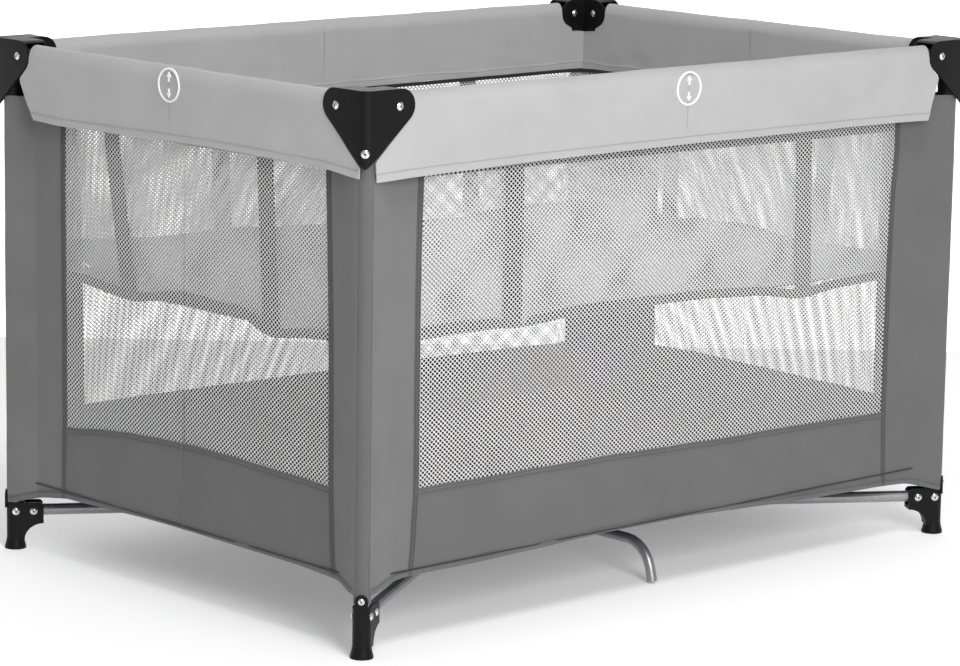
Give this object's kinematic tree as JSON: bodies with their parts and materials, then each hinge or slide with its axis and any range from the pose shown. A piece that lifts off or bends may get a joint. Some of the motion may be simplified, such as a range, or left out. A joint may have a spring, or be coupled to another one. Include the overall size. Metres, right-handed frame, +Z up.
{
  "type": "travel play yard",
  "caption": "Folding travel play yard with net walls, padded-look rail covers, a lift-out hanging bassinet and a tube frame that folds to its centre hub.",
  "frame": {"origin": "on the floor, midway between the four feet", "axes": "+X along the long side, the front faces -Y, +Z up"},
  "size_m": [1.111, 0.776, 0.71],
  "materials": {
    "silver_tube": "satin",
    "black_plastic": "satin",
    "light_cloth": "matte",
    "dark_cloth": "matte",
    "outer_net": "matte",
    "insert_cloth": "matte",
    "pad_cloth": "matte",
    "webbing": "matte"
  },
  "bodies": {
    "corner_front_left": {"leg_front_left": "silver_tube", "foot_front_left": "black_plastic", "corner_bracket_front_left": "black_plastic", "corner_panel_front_left": "dark_cloth", "net_front_left": "outer_net", "net_left_front": "outer_net"},
    "corner_front_right": {"leg_front_right": "silver_tube", "foot_front_right": "black_plastic", "corner_bracket_front_right": "black_plastic", "corner_panel_front_right": "dark_cloth", "net_front_right": "outer_net", "net_right_front": "outer_net"},
    "corner_back_left": {"leg_back_left": "silver_tube", "foot_back_left": "black_plastic", "corner_bracket_back_left": "black_plastic", "corner_panel_back_left": "dark_cloth", "net_back_left": "outer_net", "net_left_back": "outer_net"},
    "corner_back_right": {"leg_back_right": "silver_tube", "foot_back_right": "black_plastic", "corner_bracket_back_right": "black_plastic", "corner_panel_back_right": "dark_cloth", "net_back_right": "outer_net", "net_right_back": "outer_net"},
    "arm_front_left": {"arm_front_left": "silver_tube"},
    "arm_front_right": {"arm_front_right": "silver_tube"},
    "arm_back_left": {"arm_back_left": "silver_tube"},
    "arm_back_right": {"arm_back_right": "silver_tube"},
    "hub": {"hub": "black_plastic", "pull_strap": "webbing", "floor_panel": "dark_cloth"},
    "support_front": {"support_front": "silver_tube"},
    "support_back": {"support_back": "silver_tube"},
    "rail_front_left": {"rail_front_left": "silver_tube", "rail_cover_front_left": "light_cloth"},
    "rail_left_front": {"rail_left_front": "silver_tube", "rail_cover_left_front": "light_cloth"},
    "rail_front_right": {"rail_front_right": "silver_tube", "rail_cover_front_right": "light_cloth"},
    "rail_right_front": {"rail_right_front": "silver_tube", "rail_cover_right_front": "light_cloth"},
    "rail_back_left": {"rail_back_left": "silver_tube", "rail_cover_back_left": "light_cloth"},
    "rail_left_back": {"rail_left_back": "silver_tube", "rail_cover_left_back": "light_cloth"},
    "rail_back_right": {"rail_back_right": "silver_tube", "rail_cover_back_right": "light_cloth"},
    "rail_right_back": {"rail_right_back": "silver_tube", "rail_cover_right_back": "light_cloth"},
    "latch_front": {"latch_front": "black_plastic"},
    "latch_right": {"latch_right": "black_plastic"},
    "latch_back": {"latch_back": "black_plastic"},
    "latch_left": {"latch_left": "black_plastic"},
    "latch_button_front": {"latch_button_front": "black_plastic"},
    "latch_button_right": {"latch_button_right": "black_plastic"},
    "latch_button_back": {"latch_button_back": "black_plastic"},
    "latch_button_left": {"latch_button_left": "black_plastic"},
    "bassinet": {"bassinet": "insert_cloth", "mattress_pad": "pad_cloth"}
  },
  "joints": [
    {"name": "fold", "type": "hinge", "parent": "corner_front_left", "child": "arm_front_left", "pos_m": [-0.51653, -0.35639, 0.0535], "axis": [0.5445, -0.8387, 0], "range_deg": [0, 85], "deforming": ["rail_cover_front_left", "rail_cover_left_front", "rail_cover_front_right", "rail_cover_right_front", "rail_cover_back_left", "rail_cover_left_back", "rail_cover_back_right", "rail_cover_right_back", "corner_panel_front_left", "corner_panel_front_right", "corner_panel_back_left", "corner_panel_back_right", "net_front_left", "net_left_front", "net_front_right", "net_right_front", "net_back_left", "net_left_back", "net_back_right", "net_right_back", "floor_panel", "bassinet", "mattress_pad"]},
    {"name": "hub_level", "type": "hinge", "parent": "arm_front_left", "child": "hub", "pos_m": [-0.03903, -0.04639, 0.0535], "axis": [-0.5445, 0.8387, 0], "range_deg": [0, 85]},
    {"name": "arm_front_right_turn", "type": "hinge", "parent": "hub", "child": "arm_front_right", "pos_m": [0.03903, -0.04639, 0.0535], "axis": [0.5445, 0.8387, 0], "range_deg": [0, 85]},
    {"name": "corner_front_right_turn", "type": "hinge", "parent": "arm_front_right", "child": "corner_front_right", "pos_m": [0.51653, -0.35639, 0.0535], "axis": [-0.5445, -0.8387, 0], "range_deg": [0, 85]},
    {"name": "arm_back_left_turn", "type": "hinge", "parent": "hub", "child": "arm_back_left", "pos_m": [-0.03903, 0.04639, 0.0535], "axis": [-0.5445, -0.8387, 0], "range_deg": [0, 85]},
    {"name": "corner_back_left_turn", "type": "hinge", "parent": "arm_back_left", "child": "corner_back_left", "pos_m": [-0.51653, 0.35639, 0.0535], "axis": [0.5445, 0.8387, 0], "range_deg": [0, 85]},
    {"name": "arm_back_right_turn", "type": "hinge", "parent": "hub", "child": "arm_back_right", "pos_m": [0.03903, 0.04639, 0.0535], "axis": [-0.5445, 0.8387, 0], "range_deg": [0, 85]},
    {"name": "corner_back_right_turn", "type": "hinge", "parent": "arm_back_right", "child": "corner_back_right", "pos_m": [0.51653, 0.35639, 0.0535], "axis": [0.5445, -0.8387, 0], "range_deg": [0, 85]},
    {"name": "rail_front_left_turn", "type": "hinge", "parent": "corner_front_left", "child": "rail_front_left", "pos_m": [-0.5, -0.37, 0.6885], "axis": [0, 1, 0], "range_deg": [0, 85]},
    {"name": "rail_left_front_turn", "type": "hinge", "parent": "corner_front_left", "child": "rail_left_front", "pos_m": [-0.5375, -0.3325, 0.6885], "axis": [-1, 0, 0], "range_deg": [0, 85]},
    {"name": "rail_front_right_turn", "type": "hinge", "parent": "corner_front_right", "child": "rail_front_right", "pos_m": [0.5, -0.37, 0.6885], "axis": [0, -1, 0], "range_deg": [0, 85]},
    {"name": "rail_right_front_turn", "type": "hinge", "parent": "corner_front_right", "child": "rail_right_front", "pos_m": [0.5375, -0.3325, 0.6885], "axis": [-1, 0, 0], "range_deg": [0, 85]},
    {"name": "rail_back_left_turn", "type": "hinge", "parent": "corner_back_left", "child": "rail_back_left", "pos_m": [-0.5, 0.37, 0.6885], "axis": [0, 1, 0], "range_deg": [0, 85]},
    {"name": "rail_left_back_turn", "type": "hinge", "parent": "corner_back_left", "child": "rail_left_back", "pos_m": [-0.5375, 0.3325, 0.6885], "axis": [1, 0, 0], "range_deg": [0, 85]},
    {"name": "rail_back_right_turn", "type": "hinge", "parent": "corner_back_right", "child": "rail_back_right", "pos_m": [0.5, 0.37, 0.6885], "axis": [0, -1, 0], "range_deg": [0, 85]},
    {"name": "rail_right_back_turn", "type": "hinge", "parent": "corner_back_right", "child": "rail_right_back", "pos_m": [0.5375, 0.3325, 0.6885], "axis": [1, 0, 0], "range_deg": [0, 85]},
    {"name": "latch_front_turn", "type": "hinge", "parent": "rail_front_left", "child": "latch_front", "pos_m": [-0.0225, -0.37, 0.6885], "axis": [0, -1, 0], "range_deg": [0, 85]},
    {"name": "latch_back_turn", "type": "hinge", "parent": "rail_back_right", "child": "latch_back", "pos_m": [0.0225, 0.37, 0.6885], "axis": [0, 1, 0], "range_deg": [0, 85]},
    {"name": "latch_left_turn", "type": "hinge", "parent": "rail_left_back", "child": "latch_left", "pos_m": [-0.5375, 0.0225, 0.6885], "axis": [-1, 0, 0], "range_deg": [0, 85]},
    {"name": "latch_right_turn", "type": "hinge", "parent": "rail_right_front", "child": "latch_right", "pos_m": [0.5375, -0.0225, 0.6885], "axis": [1, 0, 0], "range_deg": [0, 85]},
    {"name": "press_front", "type": "slide", "parent": "latch_front", "child": "latch_button_front", "axis": [0, 1, 0], "range_m": [0, 0.002], "stiffness_N_per_m": 500, "springref_m": -0.002},
    {"name": "press_back", "type": "slide", "parent": "latch_back", "child": "latch_button_back", "axis": [0, -1, 0], "range_m": [0, 0.002], "stiffness_N_per_m": 500, "springref_m": -0.002},
    {"name": "press_left", "type": "slide", "parent": "latch_left", "child": "latch_button_left", "axis": [1, 0, 0], "range_m": [0, 0.002], "stiffness_N_per_m": 500, "springref_m": -0.002},
    {"name": "press_right", "type": "slide", "parent": "latch_right", "child": "latch_button_right", "axis": [-1, 0, 0], "range_m": [0, 0.002], "stiffness_N_per_m": 500, "springref_m": -0.002},
    {"name": "support_front_turn", "type": "hinge", "parent": "hub", "child": "support_front", "pos_m": [0.012, -0.036, 0.0535], "axis": [1, 0, 0], "range_deg": [0, 85]},
    {"name": "support_back_turn", "type": "hinge", "parent": "hub", "child": "support_back", "pos_m": [-0.012, 0.036, 0.0535], "axis": [-1, 0, 0], "range_deg": [0, 85]},
    {"name": "bassinet_lift", "type": "slide", "parent": "hub", "child": "bassinet", "axis": [0, 0, 1], "range_m": [0, 0.45], "deforming": ["bassinet"]}
  ],
  "couplings": [
    {"joint": "hub_level", "follows": "fold", "ratio": 1},
    {"joint": "arm_front_right_turn", "follows": "fold", "ratio": 1},
    {"joint": "corner_front_right_turn", "follows": "fold", "ratio": 1},
    {"joint": "arm_back_left_turn", "follows": "fold", "ratio": 1},
    {"joint": "corner_back_left_turn", "follows": "fold", "ratio": 1},
    {"joint": "arm_back_right_turn", "follows": "fold", "ratio": 1},
    {"joint": "corner_back_right_turn", "follows": "fold", "ratio": 1},
    {"joint": "rail_front_left_turn", "follows": "fold", "ratio": 1},
    {"joint": "rail_left_front_turn", "follows": "fold", "ratio": 1},
    {"joint": "rail_front_right_turn", "follows": "fold", "ratio": 1},
    {"joint": "rail_right_front_turn", "follows": "fold", "ratio": 1},
    {"joint": "rail_back_left_turn", "follows": "fold", "ratio": 1},
    {"joint": "rail_left_back_turn", "follows": "fold", "ratio": 1},
    {"joint": "rail_back_right_turn", "follows": "fold", "ratio": 1},
    {"joint": "rail_right_back_turn", "follows": "fold", "ratio": 1},
    {"joint": "latch_front_turn", "follows": "fold", "ratio": 1},
    {"joint": "latch_back_turn", "follows": "fold", "ratio": 1},
    {"joint": "latch_left_turn", "follows": "fold", "ratio": 1},
    {"joint": "latch_right_turn", "follows": "fold", "ratio": 1},
    {"joint": "support_front_turn", "follows": "fold", "ratio": 1},
    {"joint": "support_back_turn", "follows": "fold", "ratio": 1}
  ]
}
